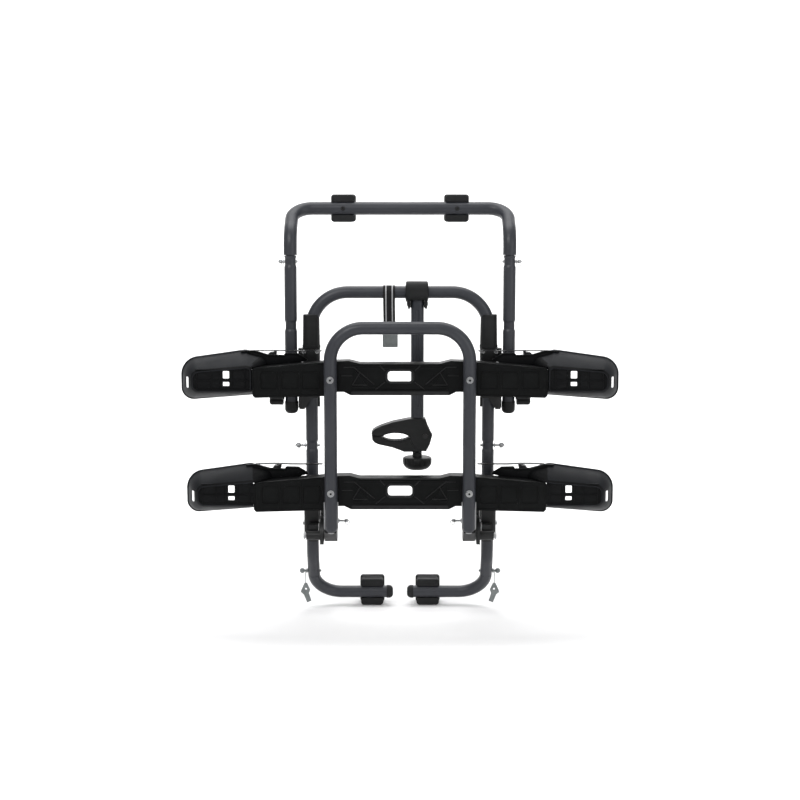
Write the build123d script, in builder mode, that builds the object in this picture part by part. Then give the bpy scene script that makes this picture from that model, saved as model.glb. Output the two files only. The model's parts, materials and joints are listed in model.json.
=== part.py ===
from build123d import *
import os
from math import atan2, cos, degrees, radians, sin

# A two-bike platform rack that hangs on a car's tailgate, folded flat for storage.
# X runs across the car, +Y points at the car, Z is up. The lowest pad edge is at Z = 0,
# the uprights stand in the plane Y = 0 and the folded platform is in front of them, at -Y.

# ---------------------------------------------------------------- driving dimensions
TUBE = 34.0                 # uprights, mast, hoop legs and feet
HOOP_TUBE = 36.5
PLATFORM_TUBE = 35.0
WALL = 2.0
NECK = 30.0                 # swaged necks that guide the inner tubes
INNER_TUBE = 25.2           # slides in the necks, 0.4 mm clear all round
RUN = 0.3                   # running clearance on a radius
PIN = 8.0                   # lock pins
PIN_HOLE = PIN + 2 * RUN

UPRIGHT_X = 244.5
UPRIGHT_TOP = 754.0
KINK_Z = 171.0              # the uprights lean towards the car below this height
LEAN = 36.0                 # degrees
KINK_R = 60.0
MAST_PIN_Z = 482.0

MAST_Z = 908.0
MAST_R = 100.0
MAST_LIFT = 100.0
SLEEVE_H = 92.0

HOOP_X = 300.5
HOOP_PIVOT_Z = 625.0
HOOP_LEG_BOTTOM = 592.0
HOOP_LEG_TOP = 1008.0
HOOP_NECK_Z = 816.0
HOOP_PIN_Z = 992.0
HOOP_KINK_Z = 1066.0
HOOP_BAR_Y = 118.0
HOOP_BAR_Z = 1134.0
HOOP_R = 55.0
HOOP_EXTEND = 120.0

FOOT_BAR_Z = 38.5
FOOT_R = 78.0
FOOT_END_X = 38.0           # where the end cap starts
FOOT_PIN_S = 71.0           # distance down the lean from the kink
FOOT_EXTEND = 30.0

PLATFORM_X = 186.5
PLATFORM_Y = -150.0
PLATFORM_TOP = 823.0
PLATFORM_BOTTOM = 282.0
PLATFORM_R = 88.0
HINGE_Y = -80.0
HINGE_Z = 243.0
HINGE_PIN = 12.0
BARREL_R = 13.0
LOCK_DY = 8.0               # platform lock pin, from the hinge axis
LOCK_DZ = 40.0
BRACKET_BOLT_Z = 262.0

UPPER_TRAY_Z = 683.0
LOWER_TRAY_Z = 370.0
TRAY_FRONT = -132.2
TRAY_BACK = -86.0
TRAY_WALL = 4.0
TRAY_WEB = 6.0
SLOT_RIM = 4.0
UPPER_BOLT_Z = UPPER_TRAY_Z + 2
LOWER_BOLT_Z = LOWER_TRAY_Z + 7
BEAM_END_X = 201.0
WING_END_X = 397.0
UPPER_REACH = 596.0         # outermost point of an upper scoop
LOWER_REACH = 586.0
SCOOP_TRAVEL = 50.0
RIM_Y = -66.0
FLOOR_Y = -131.0
SKIN = 3.0
FIN_Y = -75.0               # back of the scoops' fins, behind the wings

PAD_W = 70.0
PAD_H = 77.0
PAD_BACK = 54.5             # from the tube's centre to the face on the car
PAD_FRONT = 10.0
UPPER_PAD_X = 159.5
FOOT_PAD_X = 80.0

ARM_X = 48.0
COLLAR_X0 = 16.0
COLLAR_X1 = 77.0
ARM_BOTTOM = 560.0
RIVET_X = 70.0
RIVET_Z = 510.0
JAW_HALF = 22.0
STRAP_X = -30.0
STRAP_W = 33.0

# ---------------------------------------------------------------- derived places
lean = Vector(0, sin(radians(LEAN)), -cos(radians(LEAN)))
kink = Vector(-UPRIGHT_X, 0, KINK_Z)
foot_bar_s = (KINK_Z - FOOT_BAR_Z) / cos(radians(LEAN))
foot_corner = kink + lean * foot_bar_s
foot_pin_at = kink + lean * FOOT_PIN_S
down_lean = Plane(origin=kink, x_dir=(1, 0, 0), z_dir=lean)

os.makedirs("parts", exist_ok=True)


def save(piece, name):
    """Label a finished piece and write its STEP file."""
    piece.part.label = name
    export_step(piece.part, f"parts/{name}.step")


def save_pair(left, name):
    """Write a left-hand piece and its mirror image as two nodes."""
    with BuildPart() as right:
        mirror(left.part, about=Plane.YZ)
    save(left, f"left_{name}")
    save(right, f"right_{name}")


def save_both(left, name):
    """Write a left-hand piece and its mirror image as two solids of one node."""
    with BuildPart() as both:
        add(left.part)
        mirror(left.part, about=Plane.YZ)
    save(both, name)


def bent_tube(points, radii, outer, bore):
    """A round tube along straight runs joined by tangent bends."""
    with BuildPart() as tube:
        with BuildLine() as route:
            FilletPolyline(*points, radius=radii)
        with BuildSketch(Plane(origin=route.line @ 0, z_dir=route.line % 0)):
            Circle(outer / 2)
            Circle(bore / 2, mode=Mode.SUBTRACT)
        sweep(path=route.wires()[0])
    return tube.part


def straight_tube(bottom, top, outer, wall, necks=()):
    """A tube about Z between two heights, swaged to NECK at each height in necks."""
    half_neck = 9.0
    ramp = 6.0
    outline = [(outer / 2, bottom)]
    for z in necks:
        outline += [
            (outer / 2, z - half_neck - ramp),
            (NECK / 2, z - half_neck),
            (NECK / 2, z + half_neck),
            (outer / 2, z + half_neck + ramp),
        ]
    outline.append((outer / 2, top))
    inside = [(r - wall, z) for r, z in reversed(outline)]
    with BuildPart() as tube:
        with BuildSketch(Plane.XZ):
            with BuildLine():
                Polyline(*outline, *inside, close=True)
            make_face()
        revolve(axis=Axis.Z)
    return tube.part


def slot_cutter(low, high):
    """A slot through both walls of a tube about Z, for a lock pin along X."""
    with BuildPart() as slot:
        with BuildSketch(Plane.YZ):
            with Locations((0, (low + high) / 2)):
                SlotOverall(high - low + PIN_HOLE, PIN_HOLE, rotation=90)
        extrude(amount=TUBE, both=True)
    return slot.part


def lock_pin(length, collar_x, head_r=7.5):
    """A pin along +X from its ball head at the origin, with a collar that stops on the tube."""
    neck_r = 3.2
    collar = 3.0
    neck_x = (head_r ** 2 - neck_r ** 2) ** 0.5
    with BuildPart() as pin:
        with BuildSketch(Plane.XY):
            with BuildLine():
                ThreePointArc((-head_r, 0), (0, head_r), (neck_x, neck_r))
                Polyline(
                    (neck_x, neck_r), (collar_x - collar, neck_r), (collar_x - collar, 6.5),
                    (collar_x, 6.5), (collar_x, PIN / 2), (length - 3, PIN / 2),
                    (length, PIN / 4), (length, 0), (-head_r, 0),
                )
            make_face()
        revolve(axis=Axis.X)
    return pin.part


# ---------------------------------------------------------------- uprights
def left_upright():
    """Left main tube: straight to the kink, then leaning to the foot pin."""
    bend_start = KINK_Z + 30
    bend_end = 30.0
    with BuildPart() as upright:
        with Locations((-UPRIGHT_X, 0, 0)):
            add(straight_tube(bend_start, UPRIGHT_TOP, TUBE, WALL, [MAST_PIN_Z]))
        points = [kink + Vector(0, 0, 30), kink, kink + lean * bend_end]
        add(bent_tube(points, KINK_R, TUBE, TUBE - 2 * WALL))
        with Locations(down_lean.location):
            add(straight_tube(bend_end, FOOT_PIN_S + 9, TUBE, WALL))
        with Locations(down_lean.location * Location((0, 0, FOOT_PIN_S))):
            guide_height = 16.0
            Cylinder(TUBE / 2 - WALL + 0.1, guide_height)
            Cylinder(INNER_TUBE / 2 + 0.4, guide_height, mode=Mode.SUBTRACT)
        for place in ((-UPRIGHT_X, 0, MAST_PIN_Z), tuple(foot_pin_at)):
            with Locations(Location(place, (0, 90, 0))):
                Cylinder(PIN_HOLE / 2, TUBE + 4, mode=Mode.SUBTRACT)
    return upright


save_pair(left_upright(), "upright")


# ---------------------------------------------------------------- mast
def mast_frame():
    """The middle U with the two inner legs that slide in the uprights."""
    inner_bottom = MAST_PIN_Z - MAST_LIFT - 22
    plug = 36.0
    foot = UPRIGHT_TOP + 2
    points = [
        (-UPRIGHT_X, 0, foot), (-UPRIGHT_X, 0, MAST_Z),
        (UPRIGHT_X, 0, MAST_Z), (UPRIGHT_X, 0, foot),
    ]
    with BuildPart() as frame:
        add(bent_tube(points, MAST_R, TUBE, TUBE - 2 * WALL))
        for x in (-UPRIGHT_X, UPRIGHT_X):
            with Locations((x, 0, 0)):
                add(straight_tube(inner_bottom, foot + plug, INNER_TUBE, WALL))
                add(straight_tube(foot, foot + plug, TUBE - 2 * WALL + 0.2, 3.0))
                add(slot_cutter(MAST_PIN_Z - MAST_LIFT, MAST_PIN_Z), mode=Mode.SUBTRACT)
    return frame


save(mast_frame(), "mast")

# Plastic sleeves on the mast's ends, which stand on the tops of the uprights.
with BuildPart() as mast_sleeve:
    with Locations((-UPRIGHT_X, 0, UPRIGHT_TOP + 1)):
        Cylinder(25, 8, align=(Align.CENTER, Align.CENTER, Align.MIN))
        Cone(24, 22.5, SLEEVE_H, align=(Align.CENTER, Align.CENTER, Align.MIN))
    fillet(mast_sleeve.edges().filter_by(GeomType.CIRCLE).group_by(Axis.Z)[-1], radius=1.5)
    with BuildLine() as mast_line:
        FilletPolyline(
            (-UPRIGHT_X, 0, UPRIGHT_TOP - 10), (-UPRIGHT_X, 0, MAST_Z), (0, 0, MAST_Z), radius=MAST_R,
        )
    with BuildSketch(Plane(origin=mast_line.line @ 0, z_dir=(0, 0, 1))):
        Circle(TUBE / 2 + 0.1)
    sweep(path=mast_line.wires()[0], mode=Mode.SUBTRACT)
save_both(mast_sleeve, "mast_sleeves")

# Clamps under the guides, each with a stub that steadies the hoop leg beside it.
CLAMP_BOLT_Z = 746.0
with BuildPart() as upright_clamp:
    with BuildSketch(Plane.XY.offset(716)):
        with Locations((-UPRIGHT_X, 0)):
            RectangleRounded(48, 50, 12)
        with Locations((-UPRIGHT_X - 22, 0)):
            RectangleRounded(28, 26, 4)
        with Locations((-UPRIGHT_X, 0)):
            Circle(TUBE / 2 + 0.1, mode=Mode.SUBTRACT)
    extrude(amount=38)
    with Locations((-UPRIGHT_X + 20, 0, 735)):
        Box(20, 3, 40, mode=Mode.SUBTRACT)
    for x in (-UPRIGHT_X - 19, -UPRIGHT_X + 17):
        with Locations(Location((x, -25, CLAMP_BOLT_Z), (90, 0, 0))):
            Cylinder(3.1, 11, mode=Mode.SUBTRACT)
    chamfer(upright_clamp.faces().sort_by(Axis.Z)[0].outer_wire().edges(), length=2)
save_both(upright_clamp, "upright_clamps")

# ---------------------------------------------------------------- hoop
# Lower legs, pivoted on the uprights.
with BuildPart() as hoop_leg:
    with Locations((-HOOP_X, 0, 0)):
        add(straight_tube(HOOP_LEG_BOTTOM, HOOP_LEG_TOP, TUBE, WALL, [HOOP_NECK_Z, HOOP_PIN_Z]))
    for z, bore in ((HOOP_PIVOT_Z, 10 + 2 * RUN), (HOOP_PIN_Z, PIN_HOLE)):
        with Locations(Location((-HOOP_X, 0, z), (0, 90, 0))):
            Cylinder(bore / 2, TUBE + 4, mode=Mode.SUBTRACT)
save_pair(hoop_leg, "hoop_leg")

with BuildPart() as hoop_leg_cap:
    Cylinder(18.6, 34, align=(Align.CENTER, Align.CENTER, Align.MIN))
    fillet(hoop_leg_cap.faces().sort_by(Axis.Z)[0].edges(), radius=12)
    with Locations((0, 0, 20)):
        Cylinder(TUBE / 2 + 0.1, 20, align=(Align.CENTER, Align.CENTER, Align.MIN), mode=Mode.SUBTRACT)
with BuildPart() as hoop_leg_caps:
    with Locations((-HOOP_X, 0, HOOP_LEG_BOTTOM - 20), (HOOP_X, 0, HOOP_LEG_BOTTOM - 20)):
        add(hoop_leg_cap.part)
save(hoop_leg_caps, "hoop_leg_caps")


def hoop_frame():
    """The bent upper hoop with the two inner legs that slide in the lower legs."""
    foot = HOOP_LEG_TOP + 2
    plug = 20.0
    inner_bottom = HOOP_PIN_Z - HOOP_EXTEND - 92
    half = [(-HOOP_X, 0, foot), (-HOOP_X, 0, HOOP_KINK_Z), (-HOOP_X, HOOP_BAR_Y, HOOP_BAR_Z)]
    points = half + [(-x, y, z) for x, y, z in reversed(half)]
    bore = HOOP_TUBE - 2 * WALL
    with BuildPart() as frame:
        add(bent_tube(points, [KINK_R, HOOP_R, HOOP_R, KINK_R], HOOP_TUBE, bore))
        for x in (-HOOP_X, HOOP_X):
            with Locations((x, 0, 0)):
                add(straight_tube(inner_bottom, foot + plug, INNER_TUBE, WALL))
                add(straight_tube(foot, foot + plug, bore + 0.2, 4.2))
                add(slot_cutter(HOOP_PIN_Z - HOOP_EXTEND, HOOP_PIN_Z), mode=Mode.SUBTRACT)
        for x in (-UPPER_PAD_X, UPPER_PAD_X):
            with Locations(Location((x, HOOP_BAR_Y, HOOP_BAR_Z), (90, 0, 0))):
                Cylinder(3.4, 60, mode=Mode.SUBTRACT)
    return frame


save(hoop_frame(), "hoop")


def car_pad(x, y, z, bore):
    """A moulded pad that cradles a tube along X and rests on the car with its +Y face."""
    depth = PAD_FRONT + PAD_BACK
    with BuildPart() as pad:
        with Locations((x, y - PAD_FRONT, z)):
            Box(PAD_W, depth, PAD_H, align=(Align.CENTER, Align.MIN, Align.CENTER))
        chamfer(pad.faces().sort_by(Axis.Y)[0].edges().filter_by(Axis.Z), length=5, length2=12)
        fillet(pad.faces().sort_by(Axis.Y)[-1].edges(), radius=6)
        with Locations(Location((x, y, z), (0, 90, 0))):
            Cylinder(bore, PAD_W + 2, mode=Mode.SUBTRACT)
        with Locations((x, y, z)):
            Box(PAD_W + 2, PAD_FRONT + 12, 2 * bore, align=(Align.CENTER, Align.MAX, Align.CENTER),
                mode=Mode.SUBTRACT)
    return pad


upper_pad = car_pad(-UPPER_PAD_X, HOOP_BAR_Y, HOOP_BAR_Z, HOOP_TUBE / 2 + 0.1)
with BuildPart() as screwed_pad:
    add(upper_pad.part)
    with Locations(Location((-UPPER_PAD_X, HOOP_BAR_Y, HOOP_BAR_Z), (-90, 0, 0))):
        Cylinder(3.1, 42, align=(Align.CENTER, Align.CENTER, Align.MIN), mode=Mode.SUBTRACT)
save_pair(screwed_pad, "hoop_pad")

with BuildPart() as pad_screw:
    with Locations(Location((-UPPER_PAD_X, HOOP_BAR_Y - HOOP_TUBE / 2 - 0.05, HOOP_BAR_Z), (90, 0, 0))):
        Cylinder(6, 2.4, align=(Align.CENTER, Align.CENTER, Align.MIN))
        Cylinder(3.5, 3, align=(Align.CENTER, Align.CENTER, Align.MIN), mode=Mode.SUBTRACT)
        Cylinder(3, 0.8, align=(Align.CENTER, Align.CENTER, Align.MIN))
        Cylinder(3, 56, align=(Align.CENTER, Align.CENTER, Align.MAX))
save_both(pad_screw, "pad_screws")

# ---------------------------------------------------------------- hoop pivots
hinge_outer = HOOP_X - TUBE / 2 - 3
with BuildPart() as hoop_hinge:
    with BuildSketch(Plane.XY.offset(590)):
        with Locations((-(hinge_outer + 222) / 2, 0)):
            RectangleRounded(hinge_outer - 222, 46, 9)
        with Locations((-UPRIGHT_X, 0)):
            Circle(TUBE / 2 + 0.1, mode=Mode.SUBTRACT)
    extrude(amount=62)
    # the front is cut back on a slant, so that the upright stays bare
    with BuildSketch(Plane.XZ):
        with BuildLine():
            Polyline((-266, 580), (-244, 618), (-215, 618), (-215, 580), close=True)
        make_face()
    extrude(amount=30, mode=Mode.SUBTRACT)
    with Locations(Location((-hinge_outer, 0, HOOP_PIVOT_Z), (0, 90, 0))):
        Cylinder(5.1, 18, align=(Align.CENTER, Align.CENTER, Align.MIN), mode=Mode.SUBTRACT)
    with Locations((-hinge_outer + 9, 0, 588)):
        Cylinder(8, 8)
    chamfer(hoop_hinge.faces().sort_by(Axis.Z)[-1].outer_wire().edges(), length=3)
save_both(hoop_hinge, "hoop_hinges")

KNOB_OUT = 361.0
KNOB_IN = 320.5
with BuildPart() as hoop_knob:
    with BuildSketch(Plane.YZ.offset(-KNOB_OUT)):
        with Locations((0, HOOP_PIVOT_Z)):
            Circle(23)
            with PolarLocations(21.5, 6):
                Circle(9.5)
    extrude(amount=38)
    fillet(hoop_knob.faces().sort_by(Axis.X)[0].edges(), radius=8)
    with Locations(Location((-KNOB_IN, 0, HOOP_PIVOT_Z), (0, -90, 0))):
        Cylinder(14, KNOB_OUT - KNOB_IN - 4, align=(Align.CENTER, Align.CENTER, Align.MIN))
        Cylinder(5 + RUN, 32, align=(Align.CENTER, Align.CENTER, Align.MIN), mode=Mode.SUBTRACT)
save_pair(hoop_knob, "hoop_knob")

# ---------------------------------------------------------------- feet
def left_foot():
    """A foot tube with its inner leg, bent inwards to carry a pad."""
    start = FOOT_PIN_S + 10
    inner_top = FOOT_PIN_S - FOOT_EXTEND - 18
    end = Vector(-FOOT_END_X, foot_corner.Y, foot_corner.Z)
    bore = TUBE - 2 * WALL
    with BuildPart() as foot:
        add(bent_tube([kink + lean * start, foot_corner, end], FOOT_R, TUBE, bore))
        with Locations(down_lean.location):
            add(straight_tube(inner_top, start + 1, INNER_TUBE, WALL))
            add(straight_tube(start, start + 3, TUBE - 2 * WALL + 1, 6))
            add(slot_cutter(FOOT_PIN_S - FOOT_EXTEND, FOOT_PIN_S), mode=Mode.SUBTRACT)
    return foot


save_pair(left_foot(), "foot")

with BuildPart() as left_foot_cap:
    with Locations(Location((-FOOT_END_X, foot_corner.Y, foot_corner.Z), (0, 90, 0))):
        Cylinder(18.4, 18, align=(Align.CENTER, Align.CENTER, Align.MIN))
        Cylinder(14.8, 20, align=(Align.CENTER, Align.CENTER, Align.MAX))
    fillet(left_foot_cap.faces().sort_by(Axis.X)[-1].edges(), radius=12)
save_pair(left_foot_cap, "foot_cap")

save_pair(car_pad(-FOOT_PAD_X, foot_corner.Y, foot_corner.Z, TUBE / 2 + RUN), "foot_pad")

# ---------------------------------------------------------------- lock pins
with BuildPart() as left_mast_pin:
    with Locations((-UPRIGHT_X - 38, 0, MAST_PIN_Z)):
        add(lock_pin(60, 20.5))
save_pair(left_mast_pin, "mast_pin")

with BuildPart() as left_hoop_pin:
    with Locations((-HOOP_X - 27, 0, HOOP_PIN_Z)):
        add(lock_pin(47, 9.5, head_r=5.5))
save_pair(left_hoop_pin, "hoop_pin")


def foot_pin():
    """The left foot's lock pin, with the tailgate hook that hangs from it by a wire."""
    head = Vector(-UPRIGHT_X - 33, foot_pin_at.Y, foot_pin_at.Z)
    top = head + Vector(9, 0, -36)
    hook = [
        (-3, 0), (4, 0), (13, -20), (9, -30), (16, -52), (4, -57), (-5, -34), (-14, -26), (-12, -20),
    ]
    with BuildPart() as pin:
        with Locations(head):
            add(lock_pin(54, 14.5))
        with Locations(head + Vector(9, 0, 0)):
            Cylinder(1.0, 45, align=(Align.CENTER, Align.CENTER, Align.MAX))
        with BuildSketch(Plane.XZ.offset(-top.Y)):
            with BuildLine():
                Polyline(*[(top.X + x, top.Z + z) for x, z in hook], close=True)
            make_face()
            with Locations((top.X + 1, top.Z - 17)):
                Circle(3, mode=Mode.SUBTRACT)
        extrude(amount=1.8, both=True)
        fillet(pin.edges().filter_by(Axis.Y).group_by(Axis.Z)[0], radius=1.5)
    return pin


save_pair(foot_pin(), "foot_pin")

platform_lock = Vector(-148.0, HINGE_Y + LOCK_DY, HINGE_Z + LOCK_DZ)
with BuildPart() as left_platform_pin:
    with Locations(Location(platform_lock, (0, 0, 180))):
        add(lock_pin(76, 22, head_r=5.5))
save_pair(left_platform_pin, "platform_pin")

# ---------------------------------------------------------------- platform hinge
PLATE_X0 = 218.0
PLATE_X1 = 208.0
with BuildPart() as platform_bracket:
    # clamp round the upright, and the front web that reaches the hinge
    with BuildSketch(Plane.XY.offset(224)):
        with Locations((-UPRIGHT_X, 0)):
            RectangleRounded(46, 48, 8)
        with Locations((-UPRIGHT_X + 6, -44)):
            Rectangle(26, 56)
        with Locations((-UPRIGHT_X, 0)):
            Circle(TUBE / 2 + 0.1, mode=Mode.SUBTRACT)
    extrude(amount=92)
    with Locations((-UPRIGHT_X + 6, -56, 300)):
        Box(30, 40, 60, mode=Mode.SUBTRACT)
    # hinge barrel and quadrant plate
    with Locations(Location((-PLATE_X1, HINGE_Y, HINGE_Z), (0, -90, 0))):
        Cylinder(BARREL_R, 50, align=(Align.CENTER, Align.CENTER, Align.MIN))
    with BuildSketch(Plane.YZ.offset(-PLATE_X0)):
        with Locations((HINGE_Y, HINGE_Z)):
            Circle(57)
        with Locations((HINGE_Y + 27, HINGE_Z)):
            Rectangle(60, 120, align=(Align.MIN, Align.CENTER), mode=Mode.SUBTRACT)
        with Locations((HINGE_Y, HINGE_Z - BARREL_R)):
            Rectangle(120, 60, align=(Align.CENTER, Align.MAX), mode=Mode.SUBTRACT)
        with Locations((HINGE_Y + 4, HINGE_Z)):
            Rectangle(42, 87, align=Align.MIN)
    extrude(amount=PLATE_X0 - PLATE_X1)
    lock_r = (LOCK_DY ** 2 + LOCK_DZ ** 2) ** 0.5
    lock_angle = degrees(atan2(LOCK_DZ, LOCK_DY))
    with BuildSketch(Plane.YZ.offset(-PLATE_X0 - 1)):
        with BuildLine() as quadrant:
            CenterArc((HINGE_Y, HINGE_Z), lock_r, lock_angle, 90)
        SlotArc(quadrant.wires()[0], PIN_HOLE)
    extrude(amount=PLATE_X0 - PLATE_X1 + 2, mode=Mode.SUBTRACT)
    with Locations(Location((-PLATE_X1 + 1, HINGE_Y, HINGE_Z), (0, -90, 0))):
        Cylinder(HINGE_PIN / 2 + 0.05, 60, align=(Align.CENTER, Align.CENTER, Align.MIN), mode=Mode.SUBTRACT)
    with Locations(Location((-UPRIGHT_X - 20, 0, BRACKET_BOLT_Z), (0, 90, 0))):
        Cylinder(3.1, 10, mode=Mode.SUBTRACT)
save_both(platform_bracket, "platform_brackets")

# Lugs on the platform's legs, turning on the hinge pins.
LUG_X0 = 206.0
LUG_X1 = 172.0
with BuildPart() as platform_lug:
    with BuildSketch(Plane.YZ.offset(-LUG_X0)):
        with BuildLine():
            Polyline(
                (PLATFORM_Y + 8, HINGE_Z + 20), (PLATFORM_Y + 8, HINGE_Z + 66),
                (HINGE_Y - 10, HINGE_Z + 66), (HINGE_Y + 22, HINGE_Z + 54),
                (HINGE_Y + 22, HINGE_Z - BARREL_R), (HINGE_Y - 17, HINGE_Z - BARREL_R), close=True,
            )
        make_face()
    extrude(amount=LUG_X0 - LUG_X1)
    fillet(platform_lug.edges().filter_by(Axis.X).sort_by(Axis.Z)[0:2], radius=11)
    with Locations((-PLATFORM_X, PLATFORM_Y, PLATFORM_BOTTOM - 17)):
        Cylinder(
            PLATFORM_TUBE / 2 + 0.1, 100,
            align=(Align.CENTER, Align.CENTER, Align.MIN), mode=Mode.SUBTRACT,
        )
    for y, z, bore in ((HINGE_Y, HINGE_Z, HINGE_PIN), (HINGE_Y + LOCK_DY, HINGE_Z + LOCK_DZ, PIN)):
        with Locations(Location((-PLATFORM_X, y, z), (0, 90, 0))):
            Cylinder(bore / 2 + RUN, 60, mode=Mode.SUBTRACT)
save_both(platform_lug, "platform_lugs")

# Saddle plates welded behind the legs' rounded ends, a little wider than the tube.
saddle_r = PLATFORM_TUBE / 2 + 2
with BuildPart() as platform_saddle:
    with BuildSketch(Plane.XZ.offset(-PLATFORM_Y)):
        with Locations((-PLATFORM_X, PLATFORM_BOTTOM)):
            Circle(saddle_r)
            Rectangle(2 * saddle_r, 68, align=(Align.CENTER, Align.MIN))
    extrude(amount=-7.5)
    with Locations((-PLATFORM_X, PLATFORM_Y, PLATFORM_BOTTOM - 17)):
        Cylinder(
            PLATFORM_TUBE / 2 + 0.1, 100,
            align=(Align.CENTER, Align.CENTER, Align.MIN), mode=Mode.SUBTRACT,
        )
save_both(platform_saddle, "platform_saddles")


def hex_bolt(head_r, head_h, shank_r, length):
    """A bolt along -Z from its head, which stands on the plane Z = 0."""
    with BuildPart() as bolt:
        with BuildSketch():
            RegularPolygon(head_r, 6)
        extrude(amount=head_h)
        chamfer(bolt.faces().sort_by(Axis.Z)[-1].edges(), length=head_h * 0.2)
        Cylinder(shank_r, length, align=(Align.CENTER, Align.CENTER, Align.MAX))
    return bolt.part


def socket_bolt(head_r, head_h, shank_r, length):
    """A socket-head bolt on a washer, along -Z from the plane Z = 0."""
    washer = 1.5
    with BuildPart() as bolt:
        Cylinder(head_r + 3, washer, align=(Align.CENTER, Align.CENTER, Align.MIN))
        Cylinder(head_r, washer + head_h, align=(Align.CENTER, Align.CENTER, Align.MIN))
        fillet(bolt.faces().sort_by(Axis.Z)[-1].edges(), radius=1.2)
        with BuildSketch(Plane.XY.offset(washer + head_h)):
            RegularPolygon(head_r * 0.55, 6)
        extrude(amount=-head_h * 0.7, mode=Mode.SUBTRACT)
        Cylinder(shank_r, length, align=(Align.CENTER, Align.CENTER, Align.MAX))
    return bolt.part


# Bolts and pins that stay with the uprights.
with BuildPart() as frame_bolt:
    with Locations(Location((-hinge_outer - 64, 0, HOOP_PIVOT_Z), (0, -90, 0))):
        Cylinder(5, 76, align=(Align.CENTER, Align.CENTER, Align.MAX))
    with Locations(Location((-PLATE_X1 - 52, HINGE_Y, HINGE_Z), (0, -90, 0))):
        add(hex_bolt(10, 6, HINGE_PIN / 2, 84))
    with Locations(Location((-UPRIGHT_X - 23.1, 0, BRACKET_BOLT_Z), (0, -90, 0))):
        add(hex_bolt(7, 5, 3, 4.5))
    for x in (-UPRIGHT_X - 19, -UPRIGHT_X + 17):
        with Locations(Location((x, -25.05, CLAMP_BOLT_Z), (90, 0, 0))):
            add(hex_bolt(6, 4.5, 3, 5))
save_both(frame_bolt, "frame_bolts")

# ---------------------------------------------------------------- platform frame
with BuildPart() as platform_frame:
    corners = [
        (-PLATFORM_X, PLATFORM_Y, PLATFORM_BOTTOM), (-PLATFORM_X, PLATFORM_Y, PLATFORM_TOP),
        (PLATFORM_X, PLATFORM_Y, PLATFORM_TOP), (PLATFORM_X, PLATFORM_Y, PLATFORM_BOTTOM),
    ]
    add(bent_tube(corners, PLATFORM_R, PLATFORM_TUBE, PLATFORM_TUBE - 2 * WALL))
    for bolt_z in (UPPER_BOLT_Z, LOWER_BOLT_Z):
        for bolt_x in (-PLATFORM_X, PLATFORM_X):
            with Locations(Location((bolt_x, PLATFORM_Y, bolt_z), (90, 0, 0))):
                Cylinder(4.2, 60, mode=Mode.SUBTRACT)
save(platform_frame, "platform_frame")

with BuildPart() as end_cap:
    Cylinder(PLATFORM_TUBE / 2, 16.5, align=(Align.CENTER, Align.CENTER, Align.MAX))
    Cylinder(15.4, 20, align=(Align.CENTER, Align.CENTER, Align.MIN))
    fillet(end_cap.faces().sort_by(Axis.Z)[0].edges(), radius=16)
with BuildPart() as platform_end_caps:
    with Locations(*[(x, PLATFORM_Y, PLATFORM_BOTTOM) for x in (-PLATFORM_X, PLATFORM_X)]):
        add(end_cap.part)
save(platform_end_caps, "platform_end_caps")

# ---------------------------------------------------------------- trays
def tray_beam(mid, bolt_z):
    """The centre of one tray: a moulded channel, open towards the wheels, with a hand slot."""
    depth = TRAY_BACK - TRAY_FRONT
    right = [
        (109, 43), (137, 50), (BEAM_END_X, 48), (BEAM_END_X, -34), (151, -34), (133, -43),
    ]
    outline = right + [(-x, z) for x, z in reversed(right)]
    with BuildPart() as beam:
        with BuildSketch(Plane.XZ.offset(-TRAY_BACK)):
            with BuildLine():
                Polyline(*[(x, mid + z) for x, z in outline], close=True)
            make_face()
        extrude(amount=depth)
        # the wheel groove behind the web
        with BuildSketch(Plane.XZ.offset(-TRAY_BACK)):
            with Locations((0, mid + 1)):
                Rectangle(2 * BEAM_END_X - 2 * TRAY_WALL, 62)
        extrude(amount=depth - TRAY_WEB, mode=Mode.SUBTRACT)
        # pockets moulded into the underside, split by slanting ribs, and a line along each edge
        with BuildSketch(Plane.XZ.offset(-TRAY_FRONT)):
            with Locations(*[(x, mid + 2) for x in (-70, 70)]):
                RectangleRounded(34, 46, 5)
            for side in (-1, 1):
                for corner in (((92, 25), (122, 25), (92, -14)), ((99, -21), (129, -21), (129, 20))):
                    with BuildLine():
                        Polyline(*[(side * x, mid + z) for x, z in corner], close=True)
                    make_face()
            with Locations((0, mid - 28), (0, mid + 36)):
                Rectangle(256, 2.2)
        extrude(amount=-2.6, mode=Mode.SUBTRACT)
        # the hand slot, with a low rim round it on the wheels' side
        with BuildSketch(Plane.XZ.offset(-TRAY_FRONT - TRAY_WEB)):
            with Locations((0, mid + 8)):
                RectangleRounded(78, 40, 13)
        extrude(amount=-SLOT_RIM)
        with BuildSketch(Plane.XZ.offset(-TRAY_BACK)):
            with Locations((0, mid + 8)):
                RectangleRounded(66, 28, 9)
        extrude(amount=depth, mode=Mode.SUBTRACT)
        for x in (-PLATFORM_X, PLATFORM_X):
            with Locations(Location((x, TRAY_FRONT, bolt_z), (90, 0, 0))):
                Cylinder(4.2, 30, mode=Mode.SUBTRACT)
    return beam


save(tray_beam(UPPER_TRAY_Z, UPPER_BOLT_Z), "upper_tray_beam")
save(tray_beam(LOWER_TRAY_Z, LOWER_BOLT_Z), "lower_tray_beam")


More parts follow.
